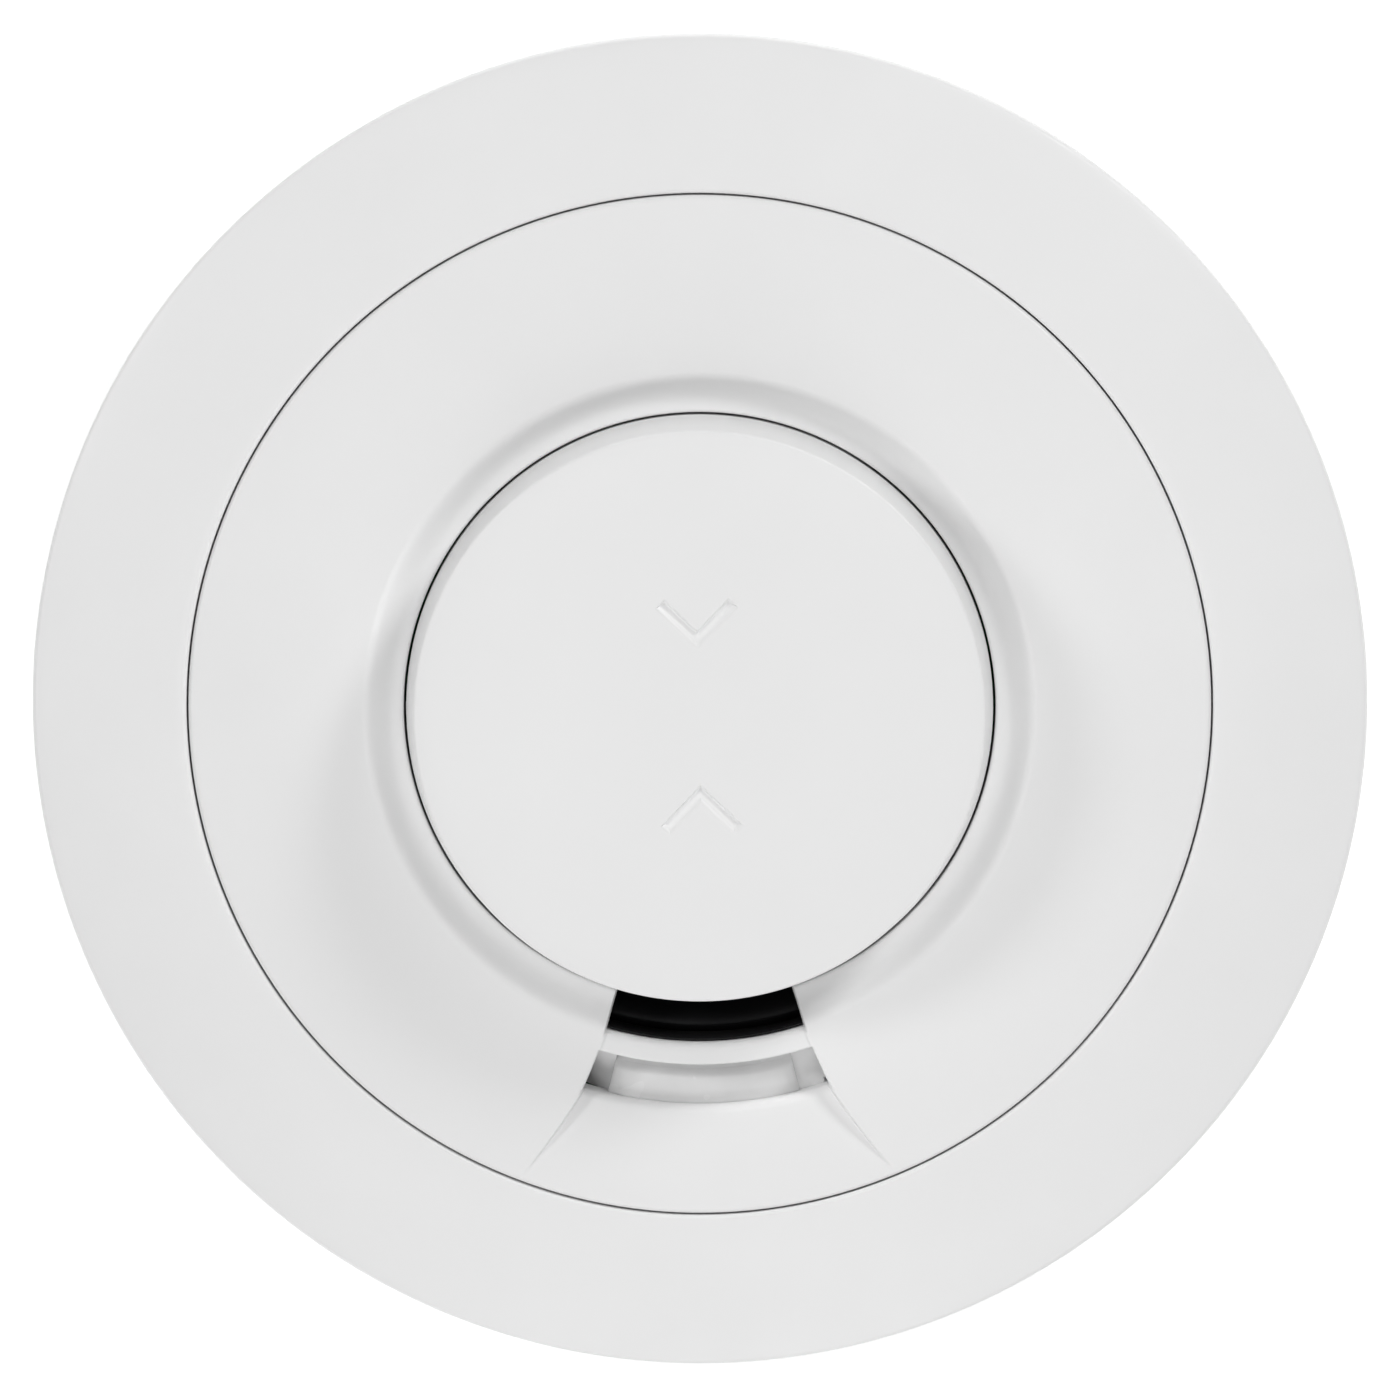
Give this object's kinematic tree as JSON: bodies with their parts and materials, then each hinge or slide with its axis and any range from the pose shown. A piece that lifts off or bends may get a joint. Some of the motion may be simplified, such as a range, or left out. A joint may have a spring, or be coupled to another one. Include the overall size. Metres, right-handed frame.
{
  "type": "smoke detector",
  "caption": "Round white ceiling smoke alarm with a large raised central test button, a smoke port with a status light guide, and a twist-off mounting base.",
  "frame": {"origin": "centre of the flat ceiling side of the mounting base, which is also the lowest point as the part lies on its back", "axes": "+Z out of the face, away from the ceiling; -Y towards the smoke port and status light; +X to the right of someone who looks at the face with the port at the bottom"},
  "size_m": [0.13, 0.13, 0.036],
  "materials": {
    "white_face": "satin moulded white plastic with a fine spark-eroded grain",
    "white_housing": "satin moulded white plastic",
    "milky_plastic": "milky light-guiding plastic",
    "black_plastic": "dull black plastic that swallows light",
    "screen_metal": "dark woven wire screen",
    "component_black": "moulded electronic component body",
    "brass_disc": "rolled brass with a grey ceramic layer",
    "wire_insulation": "red wire insulation",
    "board_laminate": "green solder mask on glass-fibre laminate",
    "cell_sleeve": "shrunk plastic sleeve",
    "steel_parts": "nickel-plated steel"
  },
  "bodies": {
    "base": {"mounting_base": "white_housing"},
    "head": {"rear_housing": "white_housing", "trim_ring": "white_face", "front_cover": "white_face", "light_guide": "milky_plastic", "inlet_duct": "black_plastic", "labyrinth": "black_plastic", "chamber_base": "black_plastic", "insect_screen": "screen_metal", "ir_emitter": "component_black", "photodiode": "component_black", "sounder_housing": "black_plastic", "piezo_disc": "brass_disc", "sounder_lid": "black_plastic", "sounder_lead_1": "wire_insulation", "sounder_lead_2": "wire_insulation", "circuit_board": "board_laminate", "microcontroller": "component_black", "capacitor_1": "component_black", "capacitor_2": "component_black", "sounder_coil": "component_black", "status_led": "milky_plastic", "test_switch": "component_black", "power_switch": "component_black", "lithium_cell": "cell_sleeve", "cell_tab_positive": "steel_parts", "cell_tab_negative": "steel_parts", "housing_screw_1": "steel_parts", "housing_screw_2": "steel_parts", "housing_screw_3": "steel_parts", "board_screw_1": "steel_parts", "board_screw_2": "steel_parts", "return_spring_1": "steel_parts", "return_spring_2": "steel_parts", "return_spring_3": "steel_parts"},
    "button": {"test_button": "white_face"},
    "plunger": {"switch_plunger": "black_plastic"},
    "feeler": {"power_pin": "milky_plastic"}
  },
  "joints": [
    {"name": "head_twist", "type": "hinge", "parent": "base", "child": "head", "pos_m": [0, 0, 0.003], "axis": [0, 0, 1], "range_deg": [0, 15]},
    {"name": "button_press", "type": "slide", "parent": "head", "child": "button", "axis": [0, 0, -1], "range_m": [0, 0.0008], "stiffness_N_per_m": 1500, "springref_m": -0.001, "deforming": ["return_spring_1", "return_spring_2", "return_spring_3"]},
    {"name": "plunger_press", "type": "slide", "parent": "head", "child": "plunger", "axis": [0, 0, -1], "range_m": [0, 0.0008]},
    {"name": "power_pin_slide", "type": "slide", "parent": "head", "child": "feeler", "axis": [0, 0, -1], "range_m": [0, 0.0016]}
  ],
  "couplings": [
    {"joint": "plunger_press", "follows": "button_press", "ratio": 1},
    {"joint": "power_pin_slide", "follows": "head_twist", "m_per_rad": 0.0057}
  ]
}
